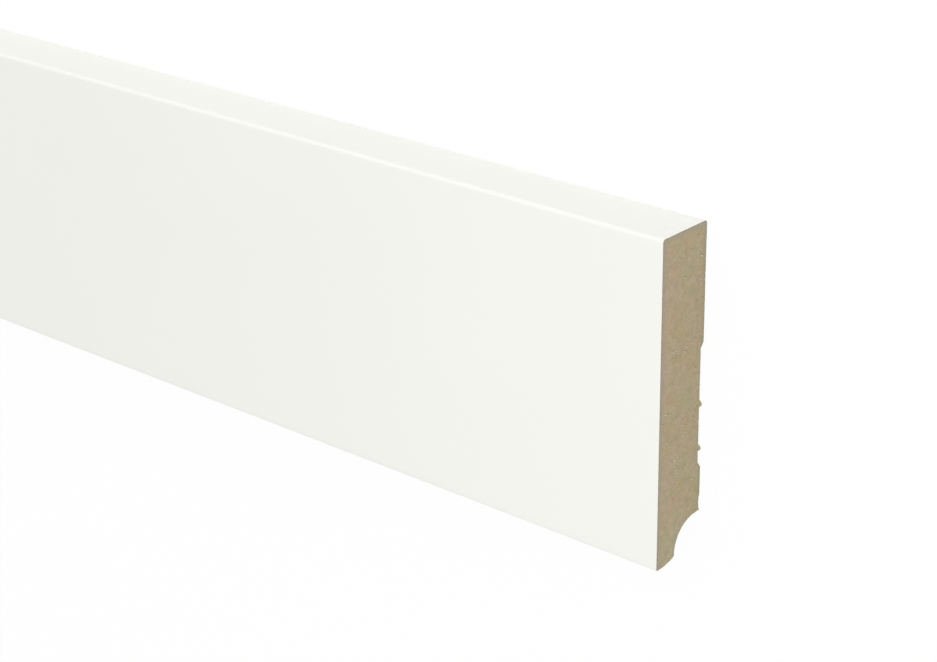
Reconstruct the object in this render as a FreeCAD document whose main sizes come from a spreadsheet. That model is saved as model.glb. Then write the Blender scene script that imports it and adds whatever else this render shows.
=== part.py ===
"""Skirting board length: an MDF moulding wrapped in white foil, square-sawn at both ends.

Row frame, millimetres: X runs along the board, Y from the floor edge up to the top edge, Z from
the back, which lies on Z = 0, up to the white face. Every section size is a named cell of the
sheet, and each sketch point is held by two cells, so a changed cell moves the whole section.
"""
import os

import FreeCAD, Part
import Sketcher

SIZES = [
    # stock sizes
    ("board_length", "2400"),
    ("board_height", "90"),
    ("board_thickness", "18"),
    # white foil: thickness with its glue, its return over the back, and its lap under the foot
    ("foil_thickness", "0.3"),
    ("foil_return", "5"),
    ("foil_lap", "0.9"),
    # rounds of the wrapped edges, measured on the foil
    ("edge_radius", "1"),
    ("foot_radius", "0.5"),
    # flat lands on the back, from the top edge down, and the relief between them
    ("upper_land", "32.4"),
    ("relief_height", "34.8"),
    ("relief_depth", "1.15"),
    ("relief_end_run", "1.55"),
    # the two ribs left in the relief, measured up from the floor edge to their square lower side
    ("rib_upper", "39.85"),
    ("rib_lower", "27.5"),
    ("rib_drop_run", "0.15"),
    ("rib_tip", "0.65"),
    ("rib_slope_run", "1.3"),
    # shallow hollow in the lower land, just above the lip of the cove
    ("hollow_depth", "0.3"),
    ("hollow_rise", "4.4"),
    ("hollow_run", "0.5"),
    ("lip_width", "0.3"),
    # cable cove at the foot of the back
    ("cove_height", "10.25"),
    ("cove_lip_drop", "0.2"),
    ("cove_lip_run", "1.9"),
    ("cove_radius", "8.55"),
    # foot: flat floor strip, then the underside rises to a bevelled heel
    ("foot_flat", "2.9"),
    ("heel_depth", "6.7"),
    ("heel_rise", "0.8"),
    ("heel_bevel", "0.7"),
    # how far the cutting profiles run past the board
    ("past", "1.5"),
    # positions that follow from the sizes
    ("y_top", "=board_height / 2"),
    ("y_floor", "=0 - board_height / 2"),
    ("y_round", "=y_top - edge_radius"),
    ("y_return", "=y_top - foil_return"),
    ("y_board_top", "=y_top - foil_thickness"),
    ("z_face", "=board_thickness"),
    ("z_board_face", "=board_thickness - foil_thickness"),
    ("z_face_round", "=board_thickness - edge_radius"),
    ("board_radius", "=edge_radius - foil_thickness"),
    ("y_foot_round", "=y_floor + foot_radius"),
    ("z_foot_round", "=board_thickness - foot_radius"),
    ("y_board_foot", "=y_floor + foil_thickness"),
    ("board_foot_radius", "=foot_radius - foil_thickness"),
    ("z_lap", "=board_thickness - foil_lap"),
    ("z_past", "=0 - past"),
    ("y_past", "=y_floor - past"),
    ("y_relief_top", "=y_top - upper_land"),
    ("y_relief_top_in", "=y_relief_top - relief_end_run"),
    ("y_relief_foot", "=y_relief_top - relief_height"),
    ("y_relief_foot_in", "=y_relief_foot + relief_end_run"),
    ("y_rib_a_foot", "=y_floor + rib_upper"),
    ("y_rib_a_drop", "=y_rib_a_foot + rib_drop_run"),
    ("y_rib_a_tip", "=y_rib_a_drop + rib_tip"),
    ("y_rib_a_in", "=y_rib_a_tip + rib_slope_run"),
    ("y_rib_b_foot", "=y_floor + rib_lower"),
    ("y_rib_b_drop", "=y_rib_b_foot + rib_drop_run"),
    ("y_rib_b_tip", "=y_rib_b_drop + rib_tip"),
    ("y_rib_b_in", "=y_rib_b_tip + rib_slope_run"),
    ("y_cove", "=y_floor + cove_height"),
    ("y_cove_lip", "=y_cove + cove_lip_drop"),
    ("y_hollow_foot", "=y_cove_lip + lip_width"),
    ("y_hollow_foot_in", "=y_hollow_foot + hollow_run"),
    ("y_hollow_top", "=y_cove_lip + hollow_rise"),
    ("y_hollow_top_in", "=y_hollow_top - hollow_run"),
    ("y_cove_foot", "=y_cove - cove_radius"),
    ("z_cove_foot", "=cove_lip_run + cove_radius"),
    ("z_foot_flat", "=board_thickness - foot_flat"),
    ("y_heel", "=y_floor + heel_rise"),
    ("z_heel", "=board_thickness - heel_depth"),
    ("y_heel_top", "=y_heel + heel_bevel"),
    ("z_heel_past", "=z_cove_foot - past"),
]

doc = FreeCAD.newDocument("skirting_board_length")
sheet = doc.addObject("Spreadsheet::Sheet", "Sizes")
for row, (word, content) in enumerate(SIZES, start=1):
    sheet.set(f"A{row}", word)
    sheet.set(f"B{row}", content)
    sheet.setAlias(f"B{row}", word)
doc.recompute()


def cell(word):
    """The sheet's present value of a cell, in millimetres; None stands for the zero line."""
    return 0.0 if word is None else float(getattr(sheet, word))


def hold(sketch, geometry, end, y_word, z_word):
    """Ties one end of a sketch edge to its two cells."""
    for kind, word, axis in (("DistanceX", y_word, -2), ("DistanceY", z_word, -1)):
        if word is None:
            sketch.addConstraint(Sketcher.Constraint("PointOnObject", geometry, end, axis))
            continue
        index = sketch.addConstraint(
            Sketcher.Constraint(kind, -1, 1, geometry, end, cell(word))
        )
        sketch.setExpression(f"Constraints[{index}]", f"Sizes.{word}")


def section_sketch(body, name, corners):
    """A closed section on the YZ plane.

    corners lists (y cell, z cell, arc). arc is None where a straight edge leaves the corner,
    and otherwise (radius cell, centre y, centre z, clockwise) of the arc that leaves it.
    """
    sketch = body.newObject("Sketcher::SketchObject", name)
    plane = [f for f in body.Origin.OriginFeatures if f.Role == "YZ_Plane"][0]
    sketch.AttachmentSupport = [(plane, "")]
    sketch.MapMode = "FlatFace"
    count = len(corners)
    ends = []
    for i, (y_word, z_word, arc) in enumerate(corners):
        here = FreeCAD.Vector(cell(y_word), cell(z_word), 0)
        after = corners[(i + 1) % count]
        there = FreeCAD.Vector(cell(after[0]), cell(after[1]), 0)
        if arc is None:
            sketch.addGeometry(Part.LineSegment(here, there), False)
            ends.append((1, 2))
            continue
        radius_word, centre_y, centre_z, clockwise = arc
        centre = FreeCAD.Vector(centre_y, centre_z, 0)
        first, last = (there, here) if clockwise else (here, there)
        start = (first - centre)
        stop = (last - centre)
        east = FreeCAD.Vector(1, 0, 0)
        up = FreeCAD.Vector(0, 0, 1)
        turn = [
            east.getAngle(v) if (east.cross(v)).dot(up) >= 0 else -east.getAngle(v)
            for v in (start, stop)
        ]
        if turn[1] < turn[0]:
            turn[1] += 2 * 3.141592653589793
        circle = Part.Circle(centre, up, cell(radius_word))
        sketch.addGeometry(Part.ArcOfCircle(circle, turn[0], turn[1]), False)
        ends.append((2, 1) if clockwise else (1, 2))
    for i in range(count):
        after = (i + 1) % count
        sketch.addConstraint(
            Sketcher.Constraint("Coincident", i, ends[i][1], after, ends[after][0])
        )
    for i, (y_word, z_word, arc) in enumerate(corners):
        hold(sketch, i, ends[i][0], y_word, z_word)
        if arc is not None:
            index = sketch.addConstraint(Sketcher.Constraint("Radius", i, cell(arc[0])))
            sketch.setExpression(f"Constraints[{index}]", f"Sizes.{arc[0]}")
    return sketch


def along(feature, expression):
    """Runs a pad or pocket both ways from the middle of the board."""
    feature.SideType = "Symmetric"
    feature.Type = "Length"
    feature.setExpression("Length", expression)


def pad(body, name, sketch):
    feature = body.newObject("PartDesign::Pad", name)
    feature.Profile = sketch
    along(feature, "Sizes.board_length")
    return feature


def pocket(body, name, corners):
    """A cut along the whole board."""
    sketch = section_sketch(body, name + "_section", corners)
    feature = body.newObject("PartDesign::Pocket", name)
    feature.Profile = sketch
    along(feature, "Sizes.board_length + 2 * Sizes.past")
    return feature


# the moulding: its blank is rebated where the foil lies, so that the foil ends up flush
moulding = doc.addObject("PartDesign::Body", "mdf_moulding")
blank = section_sketch(moulding, "blank_section", [
    ("y_floor", None, None),
    ("y_return", None, None),
    ("y_return", "foil_thickness", None),
    ("y_round", "foil_thickness",
     ("board_radius", cell("y_round"), cell("edge_radius"), False)),
    ("y_board_top", "edge_radius", None),
    ("y_board_top", "z_face_round",
     ("board_radius", cell("y_round"), cell("z_face_round"), False)),
    ("y_round", "z_board_face", None),
    ("y_foot_round", "z_board_face",
     ("board_foot_radius", cell("y_foot_round"), cell("z_foot_round"), False)),
    ("y_board_foot", "z_foot_round", None),
    ("y_board_foot", "z_lap", None),
    ("y_floor", "z_lap", None),
])
pad(moulding, "moulding_blank", blank)

# the relief is three troughs; the stock left between them is the two ribs
pocket(moulding, "relief_above_ribs", [
    ("y_relief_top", "z_past", None),
    ("y_relief_top", None, None),
    ("y_relief_top_in", "relief_depth", None),
    ("y_rib_a_in", "relief_depth", None),
    ("y_rib_a_tip", None, None),
    ("y_rib_a_tip", "z_past", None),
])
pocket(moulding, "relief_between_ribs", [
    ("y_rib_a_drop", "z_past", None),
    ("y_rib_a_drop", None, None),
    ("y_rib_a_foot", "relief_depth", None),
    ("y_rib_b_in", "relief_depth", None),
    ("y_rib_b_tip", None, None),
    ("y_rib_b_tip", "z_past", None),
])
pocket(moulding, "relief_below_ribs", [
    ("y_rib_b_drop", "z_past", None),
    ("y_rib_b_drop", None, None),
    ("y_rib_b_foot", "relief_depth", None),
    ("y_relief_foot_in", "relief_depth", None),
    ("y_relief_foot", None, None),
    ("y_relief_foot", "z_past", None),
])

# the lower land is hollowed a little between the relief and the lip of the cove
pocket(moulding, "lip_hollow", [
    ("y_hollow_foot", "z_past", None),
    ("y_hollow_foot", None, None),
    ("y_hollow_foot_in", "hollow_depth", None),
    ("y_hollow_top_in", "hollow_depth", None),
    ("y_hollow_top", None, None),
    ("y_hollow_top", "z_past", None),
])

# quarter-round cove for a cable, open to the wall and to the floor
pocket(moulding, "cable_cove", [
    ("y_cove_lip", "z_past", None),
    ("y_cove_lip", None, None),
    ("y_cove", "cove_lip_run",
     ("cove_radius", cell("y_cove_foot"), cell("cove_lip_run"), False)),
    ("y_cove_foot", "z_cove_foot", None),
    ("y_past", "z_cove_foot", None),
    ("y_past", "z_past", None),
])

# the underside of the foot rises away from the floor and ends in a small bevel at the heel
pocket(moulding, "foot_undercut", [
    ("y_floor", "z_foot_flat", None),
    ("y_heel", "z_heel", None),
    ("y_heel_top", "z_cove_foot", None),
    ("y_heel_top", "z_heel_past", None),
    ("y_past", "z_heel_past", None),
    ("y_past", "z_foot_flat", None),
])

# white foil over the face and the top edge: it returns a little way over the back, and its
# other end laps round the front of the foot
foil = doc.addObject("PartDesign::Body", "foil_wrap")
wrap = section_sketch(foil, "foil_section", [
    ("y_floor", "z_lap", None),
    ("y_board_foot", "z_lap", None),
    ("y_board_foot", "z_foot_round",
     ("board_foot_radius", cell("y_foot_round"), cell("z_foot_round"), True)),
    ("y_foot_round", "z_board_face", None),
    ("y_round", "z_board_face",
     ("board_radius", cell("y_round"), cell("z_face_round"), True)),
    ("y_board_top", "z_face_round", None),
    ("y_board_top", "edge_radius",
     ("board_radius", cell("y_round"), cell("edge_radius"), True)),
    ("y_round", "foil_thickness", None),
    ("y_return", "foil_thickness", None),
    ("y_return", None, None),
    ("y_round", None,
     ("edge_radius", cell("y_round"), cell("edge_radius"), False)),
    ("y_top", "edge_radius", None),
    ("y_top", "z_face_round",
     ("edge_radius", cell("y_round"), cell("z_face_round"), False)),
    ("y_round", "z_face", None),
    ("y_foot_round", "z_face",
     ("foot_radius", cell("y_foot_round"), cell("z_foot_round"), False)),
    ("y_floor", "z_foot_round", None),
])
pad(foil, "foil_strip", wrap)

# each piece keeps its place in the board, and its label names its file
for body in (moulding, foil):
    body.Label = body.Name
    body.Placement = FreeCAD.Placement()

doc.recompute()

# nothing is written unless every feature is up to date and every solid is sound
for item in doc.Objects:
    bad = [s for s in item.State if s in ("Invalid", "Error")]
    if bad or not item.isValid():
        raise RuntimeError(f"{item.Name} is not in order: {item.State}")
    if item.TypeId.startswith("PartDesign::") and getattr(item, "Shape", None) is not None:
        if item.Shape.isNull() or not item.Shape.isValid():
            raise RuntimeError(f"{item.Name} has no sound shape")
    if item.TypeId == "Sketcher::SketchObject" and item.solve() != 0:
        raise RuntimeError(f"{item.Name} does not solve")

os.makedirs("parts", exist_ok=True)
for body in (moulding, foil):
    shape = body.Shape
    if shape.isNull() or not shape.isValid() or len(shape.Solids) != 1:
        raise RuntimeError(f"{body.Name} is not one sound solid")
    shape.Solids[0].exportStep(f"parts/{body.Label}.step")
    box = shape.BoundBox
    print(body.Name, round(shape.Volume, 1), "mm3,",
          [round(v, 3) for v in (box.XMin, box.XMax, box.YMin, box.YMax, box.ZMin, box.ZMax)])
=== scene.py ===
# %% [markdown]
# # A length of foil-wrapped skirting board
# The real object is one stick of trim: an MDF moulding, white foil glued over its face and top
# edge, and a square saw cut at each end. It lies on its back and the camera looks down at its
# sawn end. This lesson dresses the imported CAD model: fine meshes take the place of its two
# solids, and they get procedural finishes, torn fibres and a quiet studio.

# %% Load the fixed frame
import math
import random

import bmesh
import bpy
from mathutils import Matrix, Vector
from mathutils.geometry import delaunay_2d_cdt


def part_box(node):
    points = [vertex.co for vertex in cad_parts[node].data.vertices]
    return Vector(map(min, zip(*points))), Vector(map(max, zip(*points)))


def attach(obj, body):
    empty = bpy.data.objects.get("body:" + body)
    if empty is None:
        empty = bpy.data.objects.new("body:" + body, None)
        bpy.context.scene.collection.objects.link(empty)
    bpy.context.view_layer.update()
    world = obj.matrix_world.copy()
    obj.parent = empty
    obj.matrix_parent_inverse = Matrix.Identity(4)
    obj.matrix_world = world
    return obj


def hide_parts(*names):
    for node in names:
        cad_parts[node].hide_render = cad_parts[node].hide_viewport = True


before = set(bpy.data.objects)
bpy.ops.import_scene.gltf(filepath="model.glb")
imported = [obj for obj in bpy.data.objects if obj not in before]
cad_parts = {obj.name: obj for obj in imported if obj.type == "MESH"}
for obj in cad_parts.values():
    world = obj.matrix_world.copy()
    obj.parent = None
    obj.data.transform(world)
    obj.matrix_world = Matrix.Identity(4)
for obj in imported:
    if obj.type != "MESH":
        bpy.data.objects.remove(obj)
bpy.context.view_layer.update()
board_low, board_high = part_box("foil_wrap")
moulding_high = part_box("mdf_moulding")[1]

# %% [markdown]
# ## Driving sizes
# Every size below is the real one, in millimetres. The overall sizes are read from the frame, so
# only the shapes of the section's details are written out: the relief with its two saw-tooth
# ribs, the cable cove and the undercut foot. A mesh that takes a solid's place has to have the
# same section as that solid.

# %% Sizes of the section
MM = 0.001

HALF_LENGTH = board_high.x / MM
TOP = board_high.y / MM
FLOOR_EDGE = board_low.y / MM
FACE = board_high.z / MM
FOIL = (board_high.z - moulding_high.z) / MM

EDGE_RADIUS = 1.0
FOOT_RADIUS = 0.5
FOIL_RETURN = 5.0
FOIL_LAP = 0.9
UPPER_LAND = 32.4
RELIEF_HEIGHT = 34.8
RELIEF_DEPTH = 1.15
RELIEF_END_RUN = 1.55
RIB_FEET = (39.85, 27.5)
RIB_DROP_RUN = 0.15
RIB_TIP = 0.65
RIB_SLOPE_RUN = 1.3
HOLLOW_DEPTH = 0.3
HOLLOW_RISE = 4.4
HOLLOW_RUN = 0.5
LIP_WIDTH = 0.3
COVE_HEIGHT = 10.25
COVE_LIP_DROP = 0.2
COVE_LIP_RUN = 1.9
COVE_RADIUS = 8.55
FOOT_FLAT = 2.9
HEEL_DEPTH = 6.7
HEEL_RISE = 0.8
HEEL_BEVEL = 0.7

print(f"board {2 * HALF_LENGTH:.0f} x {TOP - FLOOR_EDGE:.0f} x {FACE:.0f} mm, foil {FOIL:.1f} mm")

# %% [markdown]
# ## The section as an outline
# A moulding is made by pushing a board past shaped cutters, so its form is one outline carried
# along a straight line. The outline could be traced as a long list of points, but then nobody
# could change it. Here it is a short walk round the section: straight runs and three kinds of
# arc, each worked out from the sizes above.

# %% The rounds of the section
INNER_STEPS = 8
OUTER_STEPS = 10
INNER_FOOT_STEPS = 4
OUTER_FOOT_STEPS = 6
COVE_STEPS = 28

# centres of the three foiled rounds, as (Y, Z)
BACK_ROUND = (TOP - EDGE_RADIUS, EDGE_RADIUS)
FACE_ROUND = (TOP - EDGE_RADIUS, FACE - EDGE_RADIUS)
FOOT_ROUND = (FLOOR_EDGE + FOOT_RADIUS, FACE - FOOT_RADIUS)


def arc(centre, radius, start, stop, steps):
    """Points along an arc, in degrees from the Y axis towards Z, both ends included."""
    turns = [math.radians(start + (stop - start) * i / steps) for i in range(steps + 1)]
    return [(centre[0] + radius * math.cos(t), centre[1] + radius * math.sin(t)) for t in turns]


print("rounds:", EDGE_RADIUS, "and", FOOT_RADIUS, "mm on the foil,", COVE_RADIUS, "mm in the cove")

# %% Walk round the moulding


def moulding_outline():
    """The MDF section, anticlockwise seen from +X: back, top edge, face side, foot, cove."""
    back_end = TOP - FOIL_RETURN
    relief_top = TOP - UPPER_LAND
    relief_foot = relief_top - RELIEF_HEIGHT
    cove_top = FLOOR_EDGE + COVE_HEIGHT
    lip = cove_top + COVE_LIP_DROP
    points = [
        (lip, 0.0),
        (lip + LIP_WIDTH, 0.0),
        (lip + LIP_WIDTH + HOLLOW_RUN, HOLLOW_DEPTH),
        (lip + HOLLOW_RISE - HOLLOW_RUN, HOLLOW_DEPTH),
        (lip + HOLLOW_RISE, 0.0),
        (relief_foot, 0.0),
        (relief_foot + RELIEF_END_RUN, RELIEF_DEPTH),
    ]
    for foot in sorted(RIB_FEET):
        foot_y = FLOOR_EDGE + foot
        tip_y = foot_y + RIB_DROP_RUN
        points += [
            (foot_y, RELIEF_DEPTH),
            (tip_y, 0.0),
            (tip_y + RIB_TIP, 0.0),
            (tip_y + RIB_TIP + RIB_SLOPE_RUN, RELIEF_DEPTH),
        ]
    points += [(relief_top - RELIEF_END_RUN, RELIEF_DEPTH), (relief_top, 0.0)]
    points += [(back_end, 0.0), (back_end, FOIL)]
    points += arc(BACK_ROUND, EDGE_RADIUS - FOIL, -90, 0, INNER_STEPS)
    points += arc(FACE_ROUND, EDGE_RADIUS - FOIL, 0, 90, INNER_STEPS)
    points += arc(FOOT_ROUND, FOOT_RADIUS - FOIL, 90, 180, INNER_FOOT_STEPS)
    points += [(FLOOR_EDGE + FOIL, FACE - FOIL_LAP), (FLOOR_EDGE, FACE - FOIL_LAP)]
    points += [(FLOOR_EDGE, FACE - FOOT_FLAT), (FLOOR_EDGE + HEEL_RISE, FACE - HEEL_DEPTH)]
    points.append((FLOOR_EDGE + HEEL_RISE + HEEL_BEVEL, COVE_LIP_RUN + COVE_RADIUS))
    points += arc((cove_top - COVE_RADIUS, COVE_LIP_RUN), COVE_RADIUS, 90, 0, COVE_STEPS)
    return points


print("moulding outline:", len(moulding_outline()), "corners")

# %% Walk round the foil


def foil_outline():
    """The foil section, anticlockwise seen from +X: a long J with a short lap at the foot."""
    points = [(TOP - FOIL_RETURN, FOIL), (TOP - FOIL_RETURN, 0.0)]
    points += arc(BACK_ROUND, EDGE_RADIUS, -90, 0, OUTER_STEPS)
    points += arc(FACE_ROUND, EDGE_RADIUS, 0, 90, OUTER_STEPS)
    points += arc(FOOT_ROUND, FOOT_RADIUS, 90, 180, OUTER_FOOT_STEPS)
    points += [(FLOOR_EDGE, FACE - FOIL_LAP), (FLOOR_EDGE + FOIL, FACE - FOIL_LAP)]
    points += arc(FOOT_ROUND, FOOT_RADIUS - FOIL, 180, 90, INNER_FOOT_STEPS)
    points += arc(FACE_ROUND, EDGE_RADIUS - FOIL, 90, 0, INNER_STEPS)
    points += arc(BACK_ROUND, EDGE_RADIUS - FOIL, 0, -90, INNER_STEPS)
    return points


print("foil outline:", len(foil_outline()), "corners")

# %% Measure a closed walk


def runs_of(points):
    """The straight runs of a closed walk, each as its two ends."""
    return list(zip(points, points[1:] + points[:1]))


def area(points):
    """Signed area in square millimetres: positive when the walk is anticlockwise."""
    return 0.5 * sum(a[0] * b[1] - b[0] * a[1] for a, b in runs_of(points))


print("moulding", round(area(moulding_outline()), 2), "mm2, foil", round(area(foil_outline()), 2))

# %% [markdown]
# ## A flat section mesh with points inside
# The sawn end is the side that the camera sees best, and its torn surface needs points to move.
# A single many-sided face has none. A Delaunay triangulation takes the outline as a fence and
# spreads triangles over jittered points inside it. Each point also remembers how close it is to
# the bare, unwrapped edge, because only bare fibre tears.

# %% Places inside a section
TEAR_REACH = 1.0


def off_line(point, here, there):
    """Distance of a point from a straight run."""
    run = (there[0] - here[0], there[1] - here[1])
    length = run[0] ** 2 + run[1] ** 2
    along = (point[0] - here[0]) * run[0] + (point[1] - here[1]) * run[1]
    share = min(1.0, max(0.0, along / length))
    return math.dist(point, (here[0] + run[0] * share, here[1] + run[1] * share))


def is_inside(point, outline):
    """Even-odd test of a point against a closed outline."""
    odd = False
    for (ay, az), (by, bz) in runs_of(outline):
        if (az > point[1]) != (bz > point[1]):
            if point[0] < (by - ay) * (point[1] - az) / (bz - az) + ay:
                odd = not odd
    return odd


def bare(point):
    """0 under the foil, and 1 from the reach of a tear away from it."""
    from_foil = min(FACE - FOIL_LAP - point[1], TOP - FOIL_RETURN - point[0])
    return min(1.0, max(0.0, from_foil / TEAR_REACH))


print("bareness of the back:", bare((0.0, 0.0)), "and of the face:", bare((0.0, FACE)))

# %% Points for the mesh
SEED = 18
JITTER = 0.3
CLEARANCE = 0.6


def divide(points, pitch):
    """The closed outline again, with no run longer than pitch."""
    dense = []
    for here, there in runs_of(points):
        pieces = max(1, math.ceil(math.dist(here, there) / pitch))
        for i in range(pieces):
            share = i / pieces
            dense.append(tuple(a + (b - a) * share for a, b in zip(here, there)))
    return dense


def scattered(corners, edge_pitch, pitch):
    """Jittered points in staggered rows, inside the section and clear of its outline."""
    rng = random.Random(SEED)
    runs = runs_of(corners)
    kept = []
    for row in range(int((FACE - FOIL) / pitch) + 1):
        for column in range(int((TOP - FLOOR_EDGE) / pitch) + 1):
            stagger = 0.5 * (row % 2)
            point = (
                FLOOR_EDGE + (column + stagger + rng.uniform(-JITTER, JITTER)) * pitch,
                (row + 0.5 + rng.uniform(-JITTER, JITTER)) * pitch,
            )
            clear = all(off_line(point, a, b) > CLEARANCE * edge_pitch for a, b in runs)
            if clear and is_inside(point, corners):
                kept.append(point)
    return kept


print("points round the foil, 2 mm apart:", len(divide(foil_outline(), 2.0)))

# %% Triangulate the two sections
MOULDING_EDGE_PITCH = 0.6
MOULDING_INNER_PITCH = 0.75
FOIL_EDGE_PITCH = 1.5
KEEP_INSIDE = 1
SAME_POINT = 1e-6


def inward_at(here, before, after):
    """Unit direction into the section at an outline point, for an anticlockwise outline."""
    total = Vector((0.0, 0.0))
    for a, b in ((before, here), (here, after)):
        total += Vector((a[1] - b[1], b[0] - a[0])).normalized()
    return total.normalized()


def section_mesh(name, corners, edge_pitch, inner_pitch=None):
    """A flat mesh of the section at X = 0, facing +X, with "torn" and "inward" on each point."""
    outline = divide(corners, edge_pitch)
    loose = scattered(corners, edge_pitch, inner_pitch) if inner_pitch else []
    count = len(outline)
    fence = [(i, (i + 1) % count) for i in range(count)]
    flat = [Vector(p) for p in outline + loose]
    points, _, faces, _, _, _ = delaunay_2d_cdt(flat, fence, [], KEEP_INSIDE, SAME_POINT)
    mesh = bpy.data.meshes.new(name)
    mesh.from_pydata([(0.0, p.x * MM, p.y * MM) for p in points], [], faces)
    torn = mesh.attributes.new("torn", "FLOAT", "POINT")
    inward = mesh.attributes.new("inward", "FLOAT_VECTOR", "POINT")
    runs = runs_of(corners)
    for i, p in enumerate(points):
        near = min(off_line(p, a, b) for a, b in runs)
        torn.data[i].value = max(0.0, 1 - near / TEAR_REACH) * bare(p)
        if i < count:
            direction = inward_at(outline[i], outline[i - 1], outline[(i + 1) % count])
            inward.data[i].vector = (0.0, direction.x, direction.y)
    print(name, len(points), "points,", len(faces), "triangles")
    return mesh


moulding_section = section_mesh(
    "moulding_section", moulding_outline(), MOULDING_EDGE_PITCH, MOULDING_INNER_PITCH
)
foil_section = section_mesh("foil_section", foil_outline(), FOIL_EDGE_PITCH)

# %% [markdown]
# ## Small helpers for node trees
# Shader trees and geometry trees are both built from nodes and links. A few short functions keep
# the rest readable: one makes a node and fills its inputs, one wires two nodes together, and the
# others stand for the nodes that are used most.

# %% Helpers for node trees


def add(tree, kind, values=None, **settings):
    """A new node, with attributes from settings. Inputs are filled by name or number from
    values, each of which is plain or is an output to link."""
    node = tree.nodes.new(kind)
    for name, value in settings.items():
        setattr(node, name, value)
    for key, value in (values or {}).items():
        if isinstance(value, bpy.types.NodeSocket):
            tree.links.new(value, node.inputs[key])
        else:
            node.inputs[key].default_value = value
    return node


def wire(tree, source, target, out=0, into=0):
    """Links an output to an input, each given by name or number, and returns the target."""
    tree.links.new(source.outputs[out], target.inputs[into])
    return target


def maths(tree, operation, first, second=None, clamp=False):
    """A Math node, whose operands are outputs or plain numbers."""
    values = {0: first} if second is None else {0: first, 1: second}
    return add(tree, "ShaderNodeMath", values, operation=operation, use_clamp=clamp).outputs[0]


def plus(tree, first, second):
    """Their sum."""
    return maths(tree, "ADD", first, second)


def minus(tree, first, second, clamp=False):
    """The first less the second."""
    return maths(tree, "SUBTRACT", first, second, clamp)


def times(tree, first, second, clamp=False):
    """Their product."""
    return maths(tree, "MULTIPLY", first, second, clamp)


def vectors(tree, operation, first, second=None, scale=None):
    """A Vector Math node whose operands are outputs or tuples, and its Scale input."""
    given = {0: first, 1: second, "Scale": scale}
    values = {key: value for key, value in given.items() if value is not None}
    return add(tree, "ShaderNodeVectorMath", values, operation=operation).outputs[0]


def combined(tree, x, y=None, z=None):
    """A vector made of up to three outputs, with zero for what is left out."""
    values = {i: value for i, value in enumerate((x, y, z)) if value is not None}
    return add(tree, "ShaderNodeCombineXYZ", values).outputs[0]


def axes_of(tree, vector):
    """The three parts of a vector."""
    return add(tree, "ShaderNodeSeparateXYZ", {0: vector}).outputs


def positions(tree):
    """The place of each point, in a geometry tree."""
    return add(tree, "GeometryNodeInputPosition").outputs[0]


# %% [markdown]
# ## Carry the section along the board
# The board could be one extrusion, but long thin faces leave nothing to shape near the saw cut.
# This Geometry Nodes tree sweeps the outline of the flat section along a line with Curve to Mesh,
# and closes the tube with the section itself at both ends. The rings of the sweep crowd towards
# the cuts, where the arris is chipped, and are wide apart in the plain middle.

# %% Shared starts of the two trees


def new_tree(name, lengths, counts, materials):
    """A geometry tree with named inputs. Lengths are in metres."""
    tree = bpy.data.node_groups.new(name, "GeometryNodeTree")
    face = tree.interface
    face.new_socket("Geometry", in_out="INPUT", socket_type="NodeSocketGeometry")
    for kind, words in (("Float", lengths), ("Int", counts), ("Material", materials)):
        for word in words:
            face.new_socket(word, in_out="INPUT", socket_type="NodeSocket" + kind)
    face.new_socket("Geometry", in_out="OUTPUT", socket_type="NodeSocketGeometry")
    return tree, add(tree, "NodeGroupInput").outputs, add(tree, "NodeGroupOutput")


def outline_of(tree, section):
    """The rim of a flat section mesh as a closed curve: the edges that have only one face."""
    neighbours = add(tree, "GeometryNodeInputMeshEdgeNeighbors").outputs[0]
    is_rim = add(tree, "FunctionNodeCompare", {2: neighbours, 3: 1}, data_type="INT",
                 operation="EQUAL").outputs[0]
    rim = add(tree, "GeometryNodeSeparateGeometry", {0: section, 1: is_rim}, domain="EDGE")
    return wire(tree, rim, add(tree, "GeometryNodeMeshToCurve"))


def stored(tree, name, kind):
    """An attribute that the section mesh carries."""
    return add(tree, "GeometryNodeInputNamedAttribute", {"Name": name}, data_type=kind).outputs[0]


# %% Sweep the outline and close it
WELD = 0.005 * MM


def flat_profile(tree, section):
    """The outline laid flat for the sweep, which turns it by half a turn."""
    _, y, z = axes_of(tree, positions(tree))
    flat = combined(tree, times(tree, y, -1), times(tree, z, -1))
    return wire(tree, outline_of(tree, section),
                add(tree, "GeometryNodeSetPosition", {"Position": flat}))


def crowded_path(tree, given):
    """A straight path whose points crowd towards both cuts."""
    line = add(tree, "GeometryNodeCurvePrimitiveLine", {"Start": (0, 0, 0), "End": (1, 0, 0)})
    path = wire(tree, line, add(tree, "GeometryNodeResampleCurve", {"Count": given["Rings"]}))
    share = add(tree, "GeometryNodeSplineParameter").outputs["Factor"]
    centred = minus(tree, times(tree, share, 2), 1)
    to_end = minus(tree, 1, maths(tree, "ABSOLUTE", centred))
    crowded = minus(tree, 1, maths(tree, "POWER", to_end, given["Crowding"]))
    side = times(tree, crowded, maths(tree, "SIGN", centred))
    along = combined(tree, times(tree, side, given["Half Length"]))
    spaced = wire(tree, path, add(tree, "GeometryNodeSetPosition", {"Position": along}))
    return wire(tree, spaced, add(tree, "GeometryNodeSetCurveNormal", mode="Z_UP"))


def closed_tube(tree, given):
    """The swept outline, with the section itself over both ends."""
    tube = wire(tree, crowded_path(tree, given), add(tree, "GeometryNodeCurveToMesh"))
    wire(tree, flat_profile(tree, given["Geometry"]), tube, into="Profile Curve")
    whole = wire(tree, tube, add(tree, "GeometryNodeJoinGeometry"))
    for sign in (1, -1):
        shift = combined(tree, times(tree, given["Half Length"], sign))
        end = add(tree, "GeometryNodeTransform", {0: given["Geometry"], "Translation": shift})
        wire(tree, end, whole)
    return wire(tree, whole, add(tree, "GeometryNodeMergeByDistance", {"Distance": WELD}))


print("points closer than", WELD, "m become one")

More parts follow.
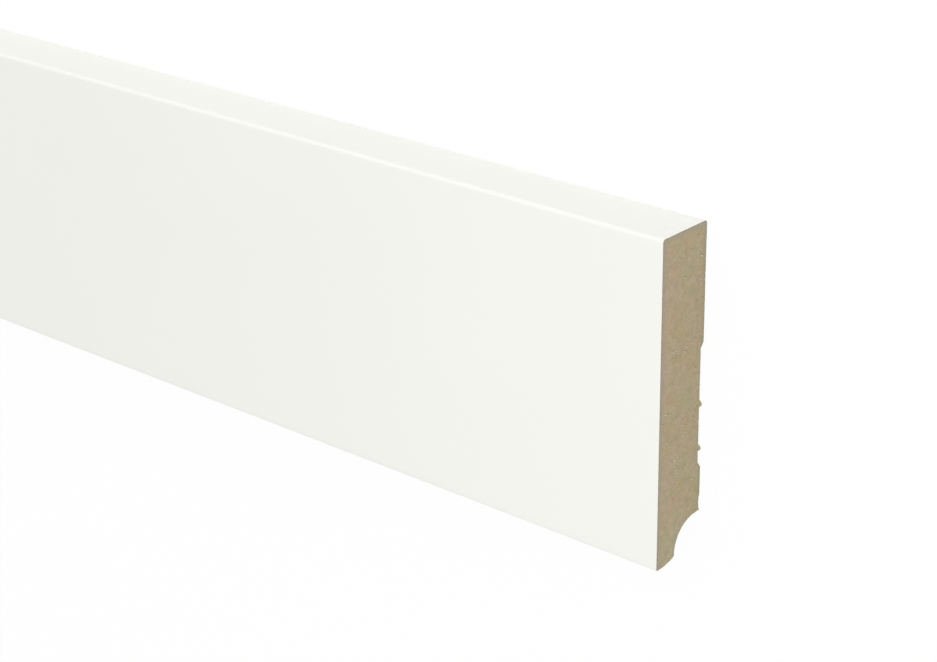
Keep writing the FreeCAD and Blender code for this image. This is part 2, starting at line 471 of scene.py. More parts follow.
# %% Chips and pits
CHIP_DETAIL = {"Detail": 3.0, "Roughness": 0.7}
CHIP_LEVEL = 0.52
CHIP_SHARPNESS = 6
PIT_PATTERN = {"Scale": 1.5 / MM, "Detail": 3.0}
ON_CUT = 0.01 * MM


def worn(tree, given, whole):
    """Chips go inward along the arris, and both chips and pits go down into the cut."""
    x = axes_of(tree, positions(tree))[0]
    from_end = minus(tree, given["Half Length"], maths(tree, "ABSOLUTE", x))
    reach = maths(tree, "DIVIDE", from_end, given["Chip Size"])
    near = minus(tree, 1, reach, clamp=True)
    fineness = maths(tree, "DIVIDE", 1, given["Chip Size"])
    chips = add(tree, "ShaderNodeTexNoise", {"Scale": fineness, **CHIP_DETAIL}).outputs[0]
    bite = times(tree, minus(tree, chips, CHIP_LEVEL), CHIP_SHARPNESS, clamp=True)
    bite = times(tree, bite, stored(tree, "torn", "FLOAT"))
    bite = times(tree, times(tree, bite, near), given["Chip Depth"])
    pits = add(tree, "ShaderNodeTexNoise", PIT_PATTERN).outputs[0]
    on_cut = maths(tree, "LESS_THAN", from_end, ON_CUT)
    pit = times(tree, times(tree, pits, on_cut), given["Pit Depth"])
    down = times(tree, plus(tree, bite, pit), maths(tree, "SIGN", x))
    into_cut = combined(tree, times(tree, down, -1))
    into_edge = vectors(tree, "SCALE", stored(tree, "inward", "FLOAT_VECTOR"), scale=bite)
    offset = vectors(tree, "ADD", into_edge, into_cut)
    return wire(tree, whole, add(tree, "GeometryNodeSetPosition", {"Offset": offset}))


print("chips where the noise is above", CHIP_LEVEL, "and pits everywhere:", PIT_PATTERN)

# %% The sweep tree
CUT_FACING = 0.6


def sweep_tree():
    """Section in, closed board out: faces that look along the board are saw cut."""
    tree, given, result = new_tree(
        "sweep_section",
        ("Half Length", "Crowding", "Chip Depth", "Chip Size", "Pit Depth"),
        ("Rings",),
        ("Along", "Sawn"),
    )
    board = worn(tree, given, closed_tube(tree, given))
    real = wire(tree, board, add(tree, "GeometryNodeRealizeInstances"))
    walls = wire(tree, real, add(tree, "GeometryNodeSetMaterial", {"Material": given["Along"]}))
    facing = axes_of(tree, add(tree, "GeometryNodeInputNormal").outputs[0])[0]
    is_cut = maths(tree, "GREATER_THAN", maths(tree, "ABSOLUTE", facing), CUT_FACING)
    sawn = add(tree, "GeometryNodeSetMaterial", {"Selection": is_cut, "Material": given["Sawn"]})
    wire(tree, wire(tree, walls, sawn), result)
    return tree


SWEEP = sweep_tree()
print("sweep tree:", len(SWEEP.nodes), "nodes")

# %% Run a tree


def turn_outward(mesh):
    """Turns every face of a closed mesh outward: Mesh to Curve picks its own direction."""
    work = bmesh.new()
    work.from_mesh(mesh)
    bmesh.ops.recalc_face_normals(work, faces=work.faces)
    open_edges = sum(not edge.is_manifold for edge in work.edges)
    work.to_mesh(mesh)
    print(mesh.name, "has", open_edges, "open edges, volume", round(work.calc_volume() * 1e6, 1))
    work.free()


def run_tree(name, mesh, tree, inputs):
    """Runs a tree on a mesh and returns a new object with the plain mesh that comes out."""
    source = bpy.data.objects.new(name + "_source", mesh)
    bpy.context.scene.collection.objects.link(source)
    modifier = source.modifiers.new("nodes", "NODES")
    modifier.node_group = tree
    for socket in tree.interface.items_tree:
        if socket.item_type == "SOCKET" and socket.in_out == "INPUT" and socket.name in inputs:
            modifier[socket.identifier] = inputs[socket.name]
    bpy.context.view_layer.update()
    graph = bpy.context.evaluated_depsgraph_get()
    plain = bpy.data.meshes.new_from_object(source.evaluated_get(graph))
    plain.name = name
    bpy.data.objects.remove(source)
    turn_outward(plain)
    piece = bpy.data.objects.new(name, plain)
    bpy.context.scene.collection.objects.link(piece)
    print(name, len(plain.vertices), "points,", len(plain.polygons), "faces")
    return piece


# %% [markdown]
# ## Torn fibres on the arris
# A saw leaves the bare edges of its cut furry: tufts of fibre stay on the relief, beside the ribs
# and in the cove. They could be painted on, but they show against the white ground, so they are
# geometry. A second tree walks the same outline and plants slivers with three sides, close
# together in tufts and missing between them. A sliver whose tip would reach below the back or
# past the floor edge is left out: it would hold the board off the ground.

# %% Chances of the fibres
ROOTS_BEHIND = (0.21 * MM, 0.45 * MM)
TUFT_LEVEL = 0.45
TUFT_SHARPNESS = 6
LENGTH_SPREAD = (0.3, 1.0)
THICKNESS_SPREAD = (0.25, 1.0)
LEAN_BACK = 0.25
LEAN_ALONG = 0.3
LEAN_ACROSS = 0.6
CHANCES = 5
SEEDS_APART = 10


def chance(tree, low, high, seed):
    """A random number, or a random vector where low and high are tuples."""
    if isinstance(low, tuple):
        return add(tree, "FunctionNodeRandomValue", {0: low, 1: high, "Seed": seed},
                   data_type="FLOAT_VECTOR").outputs[0]
    return add(tree, "FunctionNodeRandomValue", {2: low, 3: high, "Seed": seed},
               data_type="FLOAT").outputs[1]


print("fibre length times", LENGTH_SPREAD, "and thickness times", THICKNESS_SPREAD)

# %% Where the fibres stand


def planted(tree, given, spots, inward, side, seed):
    """Roots a little inside the board, behind the cut."""
    behind = chance(tree, *ROOTS_BEHIND, seed)
    x = times(tree, minus(tree, given["Half Length"], behind), side)
    sunk = vectors(tree, "SCALE", inward, scale=given["Root"])
    offset = vectors(tree, "ADD", sunk, combined(tree, x))
    return wire(tree, spots, add(tree, "GeometryNodeSetPosition", {"Offset": offset}))


def tufted(tree, given):
    """1 inside a tuft and 0 between tufts."""
    fineness = maths(tree, "DIVIDE", 1, given["Tuft Size"])
    patches = add(tree, "ShaderNodeTexNoise", {"Scale": fineness, "Detail": 1.0}).outputs[0]
    return times(tree, minus(tree, patches, TUFT_LEVEL), TUFT_SHARPNESS, clamp=True)


def leaning(tree, inward, side, seed):
    """Away from the board and back from the cut, each fibre its own way."""
    middle = -LEAN_BACK * side
    lean = chance(tree, (middle - LEAN_ALONG, -LEAN_ACROSS, -LEAN_ACROSS),
                  (middle + LEAN_ALONG, LEAN_ACROSS, LEAN_ACROSS), seed)
    return vectors(tree, "NORMALIZE", vectors(tree, "SUBTRACT", lean, inward))


# %% The fibre tree


def fibre_tree():
    """Section in, slivers on the bare arrises of both ends out."""
    tree, given, result = new_tree(
        "torn_fibres",
        ("Half Length", "Floor Edge", "Spacing", "Tuft Size", "Length", "Thickness", "Root"),
        ("Seed",),
        ("Finish",),
    )
    spots = wire(tree, outline_of(tree, given["Geometry"]),
                 add(tree, "GeometryNodeCurveToPoints", {"Length": given["Spacing"]},
                     mode="LENGTH"))
    sliver = add(tree, "GeometryNodeMeshCone",
                 {"Vertices": 3, "Radius Top": 0, "Radius Bottom": 0.5, "Depth": 1})
    inward = stored(tree, "inward", "FLOAT_VECTOR")
    both = add(tree, "GeometryNodeJoinGeometry")
    for side in (1, -1):
        first = SEEDS_APART * side
        seeds = [plus(tree, given["Seed"], first + i) for i in range(CHANCES)]
        roots = planted(tree, given, spots, inward, side, seeds[0])

        # which fibres there are, and how long
        tuft = tufted(tree, given)
        likely = times(tree, tuft, stored(tree, "torn", "FLOAT"))
        kept = maths(tree, "LESS_THAN", chance(tree, 0.0, 1.0, seeds[1]), likely)
        free = times(tree, given["Length"], chance(tree, *LENGTH_SPREAD, seeds[2]))
        length = plus(tree, times(tree, free, tuft), given["Root"])

        # none whose tip is below the back or past the floor edge
        way = leaning(tree, inward, side, seeds[3])
        tip = vectors(tree, "ADD", positions(tree), vectors(tree, "SCALE", way, scale=length))
        _, tip_y, tip_z = axes_of(tree, tip)
        inside = times(tree, maths(tree, "GREATER_THAN", tip_z, 0.0),
                       maths(tree, "GREATER_THAN", tip_y, given["Floor Edge"]))

        thick = times(tree, given["Thickness"], chance(tree, *THICKNESS_SPREAD, seeds[4]))
        turn = add(tree, "FunctionNodeAlignRotationToVector", {"Vector": way}, axis="Z")
        fibres = wire(tree, roots, add(tree, "GeometryNodeInstanceOnPoints", {
            "Instance": sliver.outputs[0],
            "Selection": times(tree, kept, inside),
            "Rotation": turn.outputs[0],
            "Scale": combined(tree, thick, thick, length),
        }))
        wire(tree, fibres, both)
    real = wire(tree, both, add(tree, "GeometryNodeRealizeInstances"))
    finish = add(tree, "GeometryNodeSetMaterial", {"Material": given["Finish"]})
    wire(tree, wire(tree, real, finish), result)
    return tree


FIBRES = fibre_tree()
print("fibre tree:", len(FIBRES.nodes), "nodes")

# %% [markdown]
# ## Helpers for finishes
# An image would show a finish at one scale only. Noise in object coordinates keeps its real size
# on every side, so every pattern here is made from it. Each kind of noise is up to three numbers:
# its fineness in cycles per millimetre, its detail and its roughness.

# %% Colours and a new material


def srgb(red, green, blue):
    """A colour read as 0-255 screen values, as the linear colour that nodes expect."""
    def linear(value):
        value /= 255
        return value / 12.92 if value <= 0.04045 else ((value + 0.055) / 1.055) ** 2.4
    return (linear(red), linear(green), linear(blue), 1.0)


def new_material(name):
    """An empty material with a Principled shader, its tree, and object coordinates in mm."""
    material = bpy.data.materials.new(name)
    material.use_nodes = True
    tree = material.node_tree
    tree.nodes.clear()
    shader = add(tree, "ShaderNodeBsdfPrincipled")
    wire(tree, shader, add(tree, "ShaderNodeOutputMaterial"))
    place = add(tree, "ShaderNodeTexCoord").outputs["Object"]
    return material, tree, shader, vectors(tree, "MULTIPLY", place, (1 / MM, 1 / MM, 1 / MM))


print("white on the screen is", srgb(255, 255, 255), "in a node")

# %% Patterns


def noise(tree, place, scale, detail=2.0, roughness=0.5):
    """Noise about a half."""
    values = {"Vector": place, "Scale": scale, "Detail": detail, "Roughness": roughness}
    return add(tree, "ShaderNodeTexNoise", values).outputs["Fac"]


def shifted(tree, place, distance):
    """The same place moved along, for a pattern that has nothing to do with the others."""
    return vectors(tree, "ADD", place, (distance, distance, distance))


def about_one(tree, value, swing):
    """Noise about a half turned into a factor about one."""
    return plus(tree, times(tree, value, swing), 1 - swing / 2)


def band(tree, value, low, high):
    """0 up to low, 1 from high on, and smooth between. High may also be the lower number."""
    return add(tree, "ShaderNodeMapRange", {0: value, 1: low, 2: high},
               interpolation_type="SMOOTHSTEP").outputs[0]


def ramp(tree, value, source, target):
    """One range mapped straight onto another."""
    values = dict(enumerate((value, *source, *target)))
    return add(tree, "ShaderNodeMapRange", values).outputs[0]


def mix(tree, share, first, second):
    """A mix of two colours, which are outputs or plain tuples."""
    return add(tree, "ShaderNodeMix", {0: share, 6: first, 7: second},
               data_type="RGBA").outputs[2]


def tinted(tree, colour, share, strength, tint):
    """The colour with a tint over it: as strong as strength where share is 1."""
    return mix(tree, times(tree, share, strength), colour, tint)


# %% Places on the board and relief


def from_edges(tree, place, depth):
    """Millimetres below the face and below the top edge, from a layer that lies depth under
    them, and the height above the back."""
    _, y, z = axes_of(tree, place)
    return minus(tree, FACE - depth, z), minus(tree, TOP - depth, y), z


def on_top_edge(tree, below_face, below_top):
    """1 where the top edge is the nearest foiled side, and 0 where the face is."""
    return maths(tree, "GREATER_THAN", below_face, below_top)


def bump(tree, shader, height, depth, strength):
    """Relief with a real depth in metres."""
    values = {"Height": height, "Strength": strength, "Distance": depth}
    wire(tree, add(tree, "ShaderNodeBump", values), shader, into="Normal")


# %% [markdown]
# ## Finish: MDF
# Medium density fibreboard is pressed wood fibre. The fibres lie flat in the board, so a sawn end
# shows short strands that run parallel to the face, pale flecks where a bundle was cut and a few
# dark pits. The saw also lifts slanted splinters, and beside each one a dark streak is painted in
# as the shadow that it casts. The board is pinker towards its face, greener near the foot and on
# the ribs, and glue has soaked in under the foil. One recipe makes the sawn end and, smoother and
# streaked along the board, the milled back.

# %% Colour of the board
PATCHES = (0.19, 3.0, 0.6)
PATCH_EDGES = (0.33, 0.67)
PINK_HEIGHT = (11.0, 16.0)
PINK_START = (12.0, 17.0)
PINK_END = (44.0, 38.0)
PINK_FACE = 0.22
PINK_STRETCH = 0.5
GREEN_FROM_FLOOR = (17.0, 5.0)
GREEN_FOOT = 0.6
FINE = (1.1, 3.0, 0.5)
FINE_SWING = 0.26
CLUMPS = (0.45, 3.0, 0.7)
CLUMP_SWING = 0.52
FADING = (0.16, 4.0, 0.7)
FADE_SHIFT = 40
FADE_SWING = 0.65


def board_colour(tree, place, edges, body):
    """Green and pink patches: pinker towards the face and greener near the foot."""
    _, below_top, height = edges
    stretch = times(tree, band(tree, below_top, *PINK_START), band(tree, below_top, *PINK_END))
    pinker = plus(tree, times(tree, stretch, PINK_STRETCH), PINK_FACE)
    to_face = times(tree, band(tree, height, *PINK_HEIGHT), pinker)
    start, end = (TOP - FLOOR_EDGE - rise for rise in GREEN_FROM_FLOOR)
    to_foot = times(tree, band(tree, below_top, start, end), GREEN_FOOT)
    patches = band(tree, noise(tree, place, *PATCHES), *PATCH_EDGES)
    share = minus(tree, plus(tree, patches, to_face), to_foot, clamp=True)
    return mix(tree, share, body["green"], body["pink"])


def uneven(tree, colour, place, fine):
    """The same colour, faded here and there and with a fibrous brightness."""
    fade = noise(tree, shifted(tree, place, FADE_SHIFT), *FADING)
    clumps = noise(tree, place, *CLUMPS)
    brightness = times(tree, about_one(tree, fine, FINE_SWING),
                       about_one(tree, clumps, CLUMP_SWING))
    return add(tree, "ShaderNodeHueSaturation", {
        "Color": colour,
        "Saturation": about_one(tree, fade, FADE_SWING),
        "Value": brightness,
    }).outputs[0]


print("pinkest from", PINK_START[1], "to", PINK_END[1], "mm below the top edge")

# %% Flecks and pits
CROWDS = (0.35, 1.0)
CROWD_EDGES = (0.42, 0.62)
BUNDLES = (1.2, 0.5)
RAGGED_SWING = 0.35
FLECK_LEVEL = 0.78
FLECK_CROWDING = 0.08
PIT_LEVEL = 0.2
PIT_CROWDING = 0.06
SPECK_SHARPNESS = 14


def specks(tree, place, strands, fine):
    """Pale flecks and dark pits, and the bundles of fibre that they are the extremes of."""
    crowd = band(tree, noise(tree, place, *CROWDS), *CROWD_EDGES)
    ragged = times(tree, minus(tree, fine, 0.5), RAGGED_SWING)
    bundles = plus(tree, noise(tree, strands, *BUNDLES), ragged)
    high = minus(tree, FLECK_LEVEL, times(tree, crowd, FLECK_CROWDING))
    low = plus(tree, PIT_LEVEL, times(tree, crowd, PIT_CROWDING))
    flecks = times(tree, minus(tree, bundles, high), SPECK_SHARPNESS, clamp=True)
    pits = times(tree, minus(tree, low, bundles), SPECK_SHARPNESS, clamp=True)
    return flecks, pits, bundles


print("flecks above", FLECK_LEVEL, "and pits below", PIT_LEVEL)

# %% Splinters
SLANT = 30
WARP = {"Scale": 2.5, "Detail": 2.0, "Roughness": 0.6}
WARP_AMOUNT = 0.9
SPLINTER_SHARE = 0.031
SPLINTER_SIZE = (0.2, 0.28)
SPLINTER_STRENGTH = (0.3, 0.7)
SPLINTER_EDGE = 0.5
# how far aside of each splinter its painted shadow lies
SPLINTER_SHADOW_SHIFT = (0.0, -0.35, 0.0)


def torn_way(tree, place, grain):
    """The place turned about the board's length, stretched, and pushed about by noise, which
    makes outlines slanted, long and ragged."""
    turned = add(tree, "ShaderNodeVectorRotate", {0: place, "Angle": math.radians(SLANT)},
                 rotation_type="X_AXIS").outputs[0]
    slanted = vectors(tree, "MULTIPLY", turned, grain)
    push = add(tree, "ShaderNodeTexNoise", {"Vector": slanted, **WARP}).outputs["Color"]
    centred = vectors(tree, "SUBTRACT", push, (0.5, 0.5, 0.5))
    return vectors(tree, "ADD", slanted, vectors(tree, "SCALE", centred, scale=WARP_AMOUNT))


def splinters(tree, place):
    """Scattered slivers of uneven size and strength, in a small share of the cells."""
    cells = add(tree, "ShaderNodeTexVoronoi", {"Vector": place, "Scale": 1.0})
    own = wire(tree, cells, add(tree, "ShaderNodeSeparateColor"), out="Color").outputs
    picked = maths(tree, "GREATER_THAN", own[0], 1 - SPLINTER_SHARE)
    least, spread = SPLINTER_SIZE
    size = plus(tree, times(tree, own[1], spread), least)
    least, spread = SPLINTER_STRENGTH
    strength = plus(tree, times(tree, own[2], spread), least)
    inside = minus(tree, 1, maths(tree, "DIVIDE", cells.outputs["Distance"], size))
    shape = times(tree, band(tree, inside, 0.0, SPLINTER_EDGE), strength)
    return times(tree, shape, picked)


print("splinters in", SPLINTER_SHARE, "of the cells, turned", SLANT, "degrees")

# %% Tints at the edges of the cut
SKIN_HEIGHT = (2.0, 0.2)
SKIN_STRENGTH = 0.7
RIM_SHIFT = 80
RIM_FINENESS = 0.6
RIM_EDGES = (0.35, 0.6)
RIB_MARGIN = (3.0, 4.0)
RIB_HEIGHT = (1.4, 0.9)
SOAK_DEPTH = (1.8, 0.1)
SOAK_STRENGTH = 0.8


def on_rim(tree, place):
    """Stretches of the bare rim, where the fibre is torn."""
    torn = add(tree, "ShaderNodeAttribute", attribute_name="torn").outputs["Fac"]
    pattern = noise(tree, shifted(tree, place, RIM_SHIFT), RIM_FINENESS)
    return times(tree, torn, band(tree, pattern, *RIM_EDGES))


def on_ribs(tree, height, below_top):
    """1 on the two ribs, which are all that reaches low between the ends of the relief."""
    near, clear = RIB_MARGIN
    end = UPPER_LAND + RELIEF_HEIGHT
    in_relief = times(tree, band(tree, below_top, UPPER_LAND + near, UPPER_LAND + clear),
                      band(tree, below_top, end - near, end - clear))
    return times(tree, in_relief, band(tree, height, *RIB_HEIGHT))


def edge_tints(tree, colour, place, edges, body, rim):
    """The colour with the skin of the back, the torn rim, the ribs and the soaked-in glue."""
    below_face, below_top, height = edges
    colour = tinted(tree, colour, band(tree, height, *SKIN_HEIGHT), SKIN_STRENGTH, body["skin"])
    colour = tinted(tree, colour, on_rim(tree, place), rim, body["rim"])
    colour = tinted(tree, colour, on_ribs(tree, height, below_top), rim, body["rib"])
    soaked = band(tree, maths(tree, "MINIMUM", below_face, below_top), *SOAK_DEPTH)
    glue = mix(tree, on_top_edge(tree, below_face, below_top), body["glue"], body["top_glue"])
    return tinted(tree, colour, soaked, SOAK_STRENGTH, glue)


print("glue soaked in", SOAK_DEPTH[0], "mm deep")

# %% The recipe for MDF
FLECK_STRENGTH = 0.5
PIT_STRENGTH = 0.6
SLIVER_STRENGTH = 0.9
BUNDLE_RELIEF = 2
SPECK_RELIEF = 0.8
SPLINTER_RELIEF = 1.4
MDF_RELIEF = 0.2 * MM
MDF_BUMP = 0.5
MDF_ROUGHNESS = 0.85
MDF_SPECULAR = 0.25


def mdf_material(name, body, grain, sliver_grain, speckle, rim):
    """Pressed fibre: the two grains are the fineness of strands and slivers per axis, speckle the
    strength of flecks, and rim the strength of the tint beside a bare arris."""
    material, tree, shader, place = new_material(name)
    edges = from_edges(tree, place, FOIL)
    strands = vectors(tree, "MULTIPLY", place, grain)
    fine = noise(tree, strands, *FINE)
    flecks, pits, bundles = specks(tree, place, strands, fine)
    torn = torn_way(tree, place, sliver_grain)
    slivers = splinters(tree, torn)
    # painted shadow: the same splinters moved aside, to be painted dark beside each splinter
    splinter_shadows = splinters(tree, vectors(tree, "ADD", torn, SPLINTER_SHADOW_SHIFT))

    colour = uneven(tree, board_colour(tree, place, edges, body), place, fine)
    colour = tinted(tree, colour, flecks, FLECK_STRENGTH * speckle, body["fleck"])
    colour = tinted(tree, colour, pits, PIT_STRENGTH * speckle, body["pit"])
    # paints the shadow beside each splinter, in the dark pit colour
    colour = tinted(tree, colour, splinter_shadows, speckle, body["pit"])
    colour = tinted(tree, colour, slivers, SLIVER_STRENGTH * speckle, body["sliver"])
    colour = edge_tints(tree, colour, place, edges, body, rim)
    tree.links.new(colour, shader.inputs["Base Color"])
    shader.inputs["Roughness"].default_value = MDF_ROUGHNESS
    shader.inputs["Specular IOR Level"].default_value = MDF_SPECULAR

    relief = plus(tree, fine, times(tree, bundles, BUNDLE_RELIEF))
    specked = times(tree, minus(tree, flecks, pits), SPECK_RELIEF)
    lifted = times(tree, minus(tree, slivers, splinter_shadows), SPLINTER_RELIEF)
    relief = plus(tree, relief, plus(tree, specked, lifted))
    bump(tree, shader, relief, MDF_RELIEF, MDF_BUMP)
    return material


# %% The sawn end and the milled back
SAWN_BODY = {
    "green": srgb(165.5, 155, 124),
    "pink": srgb(170.5, 153, 127.5),
    "fleck": srgb(216, 203, 172),
    "sliver": srgb(240, 229, 198),
    "pit": srgb(98, 88, 66),
    "skin": srgb(156, 147, 120),
    "rim": srgb(162, 156, 117),
    "rib": srgb(170, 168, 114),
    "glue": srgb(158, 147, 134),
    "top_glue": srgb(157, 151, 134),
}
MILLED_BODY = {
    "green": srgb(166, 153, 122),
    "pink": srgb(171, 153, 127),
    "fleck": srgb(192, 177, 146),
    "sliver": srgb(196, 181, 150),
    "pit": srgb(118, 105, 80),
    "skin": srgb(160, 147, 120),
    "rim": srgb(164, 154, 120),
    "rib": srgb(166, 155, 120),
    "glue": srgb(158, 146, 122),
    "top_glue": srgb(158, 148, 122),
}
mdf_sawn = mdf_material(
    "mdf_sawn", SAWN_BODY,
    grain=(1.0, 0.9, 1.8), sliver_grain=(1.0, 2.3, 0.45), speckle=0.85, rim=0.6,
)
mdf_milled = mdf_material(
    "mdf_milled", MILLED_BODY,
    grain=(0.35, 1.4, 1.4), sliver_grain=(0.3, 1.6, 1.6), speckle=0.5, rim=0.0,
)
print("MDF material:", len(mdf_sawn.node_tree.nodes), "nodes")

# %% Loose fibre
FIBRE_FINENESS = 1.5


def fibre_material():
    """Loose fibre, paler and yellower than the board that it was torn from."""
    material, tree, shader, place = new_material("mdf_fibre")
    pattern = noise(tree, place, FIBRE_FINENESS)
    colour = mix(tree, pattern, srgb(152, 142, 104), srgb(190, 180, 134))
    tree.links.new(colour, shader.inputs["Base Color"])
    shader.inputs["Roughness"].default_value = MDF_ROUGHNESS
    return material


mdf_fibre = fibre_material()
print("fibre material:", len(mdf_fibre.node_tree.nodes), "nodes")

# %% [markdown]
# ## Finish: white foil
# The foil is a satin film in a warm white, glued on with a hot-melt line. Its face is nearly
# flat: only a very fine texture breaks up the gloss, which is a little cloudy. Where the saw went
# through it, the eye sees a hair of white film and then a dull grey line of glue. The cut edge is
# its own material, and the distance from the outer surface decides which of the two shows.

# %% The face of the foil
CLOUDS = (0.02, 2.0)
FILM_TEXTURE = (2.2, 3.0)
GLOSS_CLOUDS = (0.12, 3.0)
GLOSS_SHIFT = 30
GLOSS_SUM = (0.7, 1.3)
FOIL_ROUGHNESS = (0.46, 0.64)
FILM_RELIEF = 0.01 * MM
FILM_BUMP = 0.25


def foil_face_material():
    """Warm white film, with its gloss broken up by a fine texture and slow clouds."""
    material, tree, shader, place = new_material("foil_white")
    white = mix(tree, noise(tree, place, *CLOUDS), srgb(241, 242, 234), srgb(243, 244, 238))
    tree.links.new(white, shader.inputs["Base Color"])
    texture = noise(tree, place, *FILM_TEXTURE)
    clouds = noise(tree, shifted(tree, place, GLOSS_SHIFT), *GLOSS_CLOUDS)
    gloss = ramp(tree, plus(tree, texture, clouds), GLOSS_SUM, FOIL_ROUGHNESS)
    tree.links.new(gloss, shader.inputs["Roughness"])
    bump(tree, shader, texture, FILM_RELIEF, FILM_BUMP)
    return material


foil_white = foil_face_material()
print("foil material:", len(foil_white.node_tree.nodes), "nodes")

# %% The cut edge of the foil
WANDERING = (0.9, 3.0, 0.7)
WANDER_EDGES = (0.3, 0.7)
FILM_DEPTH = (0.03, 0.09)
GLUE_ROUGHNESS = 0.7


def foil_edge_material():
    """A hair of film, then glue, which is greener on the top edge than on the face."""
    material, tree, shader, place = new_material("foil_cut_edge")
    below_face, below_top, _ = from_edges(tree, place, 0.0)
    depth = maths(tree, "MINIMUM", below_face, below_top)
    wander = band(tree, noise(tree, place, *WANDERING), *WANDER_EDGES)
    face_glue = mix(tree, wander, srgb(124, 114, 107), srgb(164, 153, 143))
    top_glue = mix(tree, wander, srgb(118, 116, 106), srgb(158, 155, 141))
    glue = mix(tree, on_top_edge(tree, below_face, below_top), face_glue, top_glue)
    colour = mix(tree, band(tree, depth, *FILM_DEPTH), srgb(212, 204, 197), glue)
    tree.links.new(colour, shader.inputs["Base Color"])
    shader.inputs["Roughness"].default_value = GLUE_ROUGHNESS
    return material


foil_cut = foil_edge_material()
print("cut edge material:", len(foil_cut.node_tree.nodes), "nodes")

# %% [markdown]
# ## The two pieces
# Both pieces come out of the same sweep tree with other inputs. Only the MDF gets chips, pits and
# torn fibres: the saw cuts the film cleanly. The fibres are part of the board, so their slivers
# are joined into its mesh.

# %% Build the moulding and the foil
CHIP_SIZE = 0.8 * MM

moulding = run_tree("moulding", moulding_section, SWEEP, {
    "Half Length": HALF_LENGTH * MM,
    "Rings": 81,
    "Crowding": 2.8,
    "Chip Depth": 0.08 * MM,
    "Chip Size": CHIP_SIZE,
    "Pit Depth": 0.06 * MM,
    "Along": mdf_milled,
    "Sawn": mdf_sawn,
})
foil = run_tree("foil", foil_section, SWEEP, {
    "Half Length": HALF_LENGTH * MM,
    "Rings": 31,
    "Crowding": 2.2,
    "Chip Depth": 0.0,
    "Chip Size": CHIP_SIZE,
    "Pit Depth": 0.0,
    "Along": foil_white,
    "Sawn": foil_cut,
})

# %% Plant the fibres and join them to the board
SMOOTH_UP_TO = math.radians(30)


def join_into(piece, extra):
    """Moves the faces and materials of extra into piece, and removes extra."""
    work = bmesh.new()
    work.from_mesh(piece.data)
    before = len(work.faces)
    work.from_mesh(extra.data)
    work.faces.ensure_lookup_table()
    for face in work.faces[before:]:
        face.material_index += len(piece.data.materials)
    for material in extra.data.materials:
        piece.data.materials.append(material)
    work.to_mesh(piece.data)
    work.free()
    bpy.data.objects.remove(extra)
    print(piece.name, "now has", len(piece.data.polygons), "faces")


join_into(moulding, run_tree("torn_fibres", moulding_section, FIBRES, {
    "Half Length": HALF_LENGTH * MM,
    "Floor Edge": FLOOR_EDGE * MM,
    "Spacing": 0.05 * MM,
    "Tuft Size": 1.3 * MM,
    "Length": 0.8 * MM,
    "Thickness": 0.4 * MM,
    "Root": 0.25 * MM,
    "Seed": SEED,
    "Finish": mdf_fibre,
}))
for piece in (moulding, foil):
    piece.data.shade_smooth()
    piece.data.set_sharp_from_angle(angle=SMOOTH_UP_TO)

# %% [markdown]
# ## Studio
# The picture has a white ground with hardly a shadow. The floor is an ordinary pale plane for the
# light, so the board gets the bounce that a real table gives. For camera and mirror rays most of
# it is plain white, and the rest keeps a faint shadow under the board. A white sky and a wide
# patch of daylight light the whole length evenly. Three soft lamps at the sawn end do the rest:
# the key lifts the cut and the face beside it, and the two behind the board light its top edge
# and draw the bright line along the arris.

# %% Floor
FLOOR_GREY = 0.95
FLOOR_ROUGHNESS = 0.9
FLOOR_WHITE_SHARE = 0.95
FLOOR_SPAN = 60.0
FLOOR_DROP = 0.05 * MM


def is_looked_at(tree):
    """1 for what the camera sees, straight, in a mirror or through glass."""
    rays = add(tree, "ShaderNodeLightPath").outputs
    seen = maths(tree, "MAXIMUM", rays["Is Camera Ray"], rays["Is Glossy Ray"])
    return maths(tree, "MAXIMUM", seen, rays["Is Transmission Ray"])


def floor_material():
    """A pale floor for the light, and nearly plain white for the camera."""
    material, tree, shader, _ = new_material("studio_floor")
    shader.inputs["Base Color"].default_value = (FLOOR_GREY, FLOOR_GREY, FLOOR_GREY, 1.0)
    shader.inputs["Roughness"].default_value = FLOOR_ROUGHNESS
    shader.inputs["Specular IOR Level"].default_value = 0.0
    white = add(tree, "ShaderNodeEmission", {"Strength": 1.0, "Color": (1, 1, 1, 1)})
    share = times(tree, is_looked_at(tree), FLOOR_WHITE_SHARE)
    both = add(tree, "ShaderNodeMixShader", {0: share, 1: shader.outputs[0], 2: white.outputs[0]})
    end = next(node for node in tree.nodes if node.type == "OUTPUT_MATERIAL")
    wire(tree, both, end)
    return material


half = FLOOR_SPAN / 2
floor_mesh = bpy.data.meshes.new("floor")
floor_mesh.from_pydata(
    [(-half, -half, 0), (half, -half, 0), (half, half, 0), (-half, half, 0)], [], [(0, 1, 2, 3)]
)
floor_mesh.materials.append(floor_material())
floor = bpy.data.objects.new("floor", floor_mesh)
bpy.context.scene.collection.objects.link(floor)
floor.location.z = -FLOOR_DROP
print("floor:", FLOOR_SPAN, "m square")

# %% Sky
SKY_STRENGTH = 0.55


def sky():
    """A white sky: soft as a light, and plain white where it is looked at."""
    world = bpy.data.worlds.new("sky")
    world.use_nodes = True
    tree = world.node_tree
    tree.nodes.clear()
    strength = ramp(tree, is_looked_at(tree), (0.0, 1.0), (SKY_STRENGTH, 1.0))
    white = add(tree, "ShaderNodeBackground", {"Color": (1, 1, 1, 1), "Strength": strength})
    wire(tree, white, add(tree, "ShaderNodeOutputWorld"))
    return world


bpy.context.scene.world = sky()
print("sky:", SKY_STRENGTH)

# %% Daylight and lamps
SAWN_END = Vector((board_high.x, 0.0, 0.5 * board_high.z))


def hang(name, light, towards):
    """A new light in the scene, turned so that its back looks towards a direction."""
    holder = bpy.data.objects.new(name, light)
    holder.rotation_mode = "QUATERNION"
    holder.rotation_quaternion = towards.to_track_quat("Z", "Y")
    bpy.context.scene.collection.objects.link(holder)
    print(name, light.energy)
    return holder


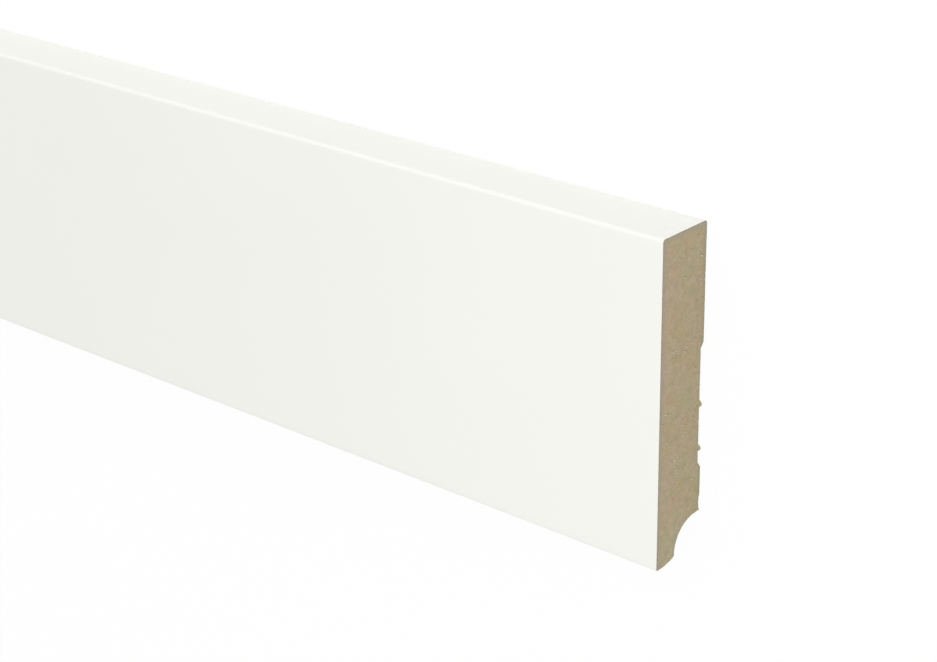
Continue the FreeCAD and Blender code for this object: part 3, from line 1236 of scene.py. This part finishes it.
def daylight(name, way, strength, spread):
    """Even light over the whole board, from a wide patch of sky that lies that way."""
    light = bpy.data.lights.new(name, "SUN")
    light.energy = strength
    light.angle = math.radians(spread)
    hang(name, light, Vector(way))


def lamp(name, offset, size, power):
    """A square soft lamp beside the sawn end, facing it."""
    light = bpy.data.lights.new(name, "AREA")
    light.shape = "SQUARE"
    light.size = size
    light.energy = power
    place = SAWN_END + Vector(offset)
    holder = hang(name, light, place - SAWN_END)
    holder.location = place
    holder.visible_camera = False


daylight("daylight", way=(0.4, 0.35, 0.84), strength=1.15, spread=50)
lamp("key", offset=(0.3, 0.05, 0.35), size=0.3, power=0.43)
lamp("rim", offset=(-0.55, 0.64, 0.37), size=0.6, power=0.1)
lamp("back", offset=(-0.5, 0.75, 0.24), size=0.4, power=0.86)

# %% [markdown]
# ## Camera
# The camera was worked out once from the board's own edges: their vanishing points and the
# 18 x 90 mm section give one place, one turn and one lens. The camera stands over the sawn end
# and is rolled, because the board lies on its back here.

# %% Camera
CAMERA_PLACE = (1.5151486, 0.2514817, 0.4505626)
CAMERA_VIEW = (-0.6036724, -0.3952390, -0.6923625)
CAMERA_UP = (-0.2495483, 0.9184947, -0.3067462)
CAMERA_RANGE = (0.01, 200.0)
FOCAL_PIXELS = 2395.402
PICTURE_WIDTH = 937
SENSOR_WIDTH = 36.0

camera_data = bpy.data.cameras.new("camera")
camera_data.sensor_fit = "HORIZONTAL"
camera_data.sensor_width = SENSOR_WIDTH
camera_data.lens = SENSOR_WIDTH * FOCAL_PIXELS / PICTURE_WIDTH
camera_data.clip_start, camera_data.clip_end = CAMERA_RANGE
camera = bpy.data.objects.new("camera", camera_data)
back = -Vector(CAMERA_VIEW).normalized()
right = Vector(CAMERA_UP).cross(back).normalized()
turn = Matrix((right, back.cross(right), back)).transposed()
camera.matrix_world = Matrix.Translation(CAMERA_PLACE) @ turn.to_4x4()
bpy.context.scene.collection.objects.link(camera)
bpy.context.scene.camera = camera
bpy.context.scene.view_settings.view_transform = "Standard"
print("lens", round(camera_data.lens, 2), "mm")

# %% [markdown]
# ## Ride on one body
# The board has no joint, so both pieces ride on the one body. Each piece stands for its CAD solid,
# which is hidden.

# %% Ride and replace
for piece, node, slot in ((moulding, "mdf_moulding", "mdf"), (foil, "foil_wrap", "white_foil")):
    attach(piece, "root")
    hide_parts(node)
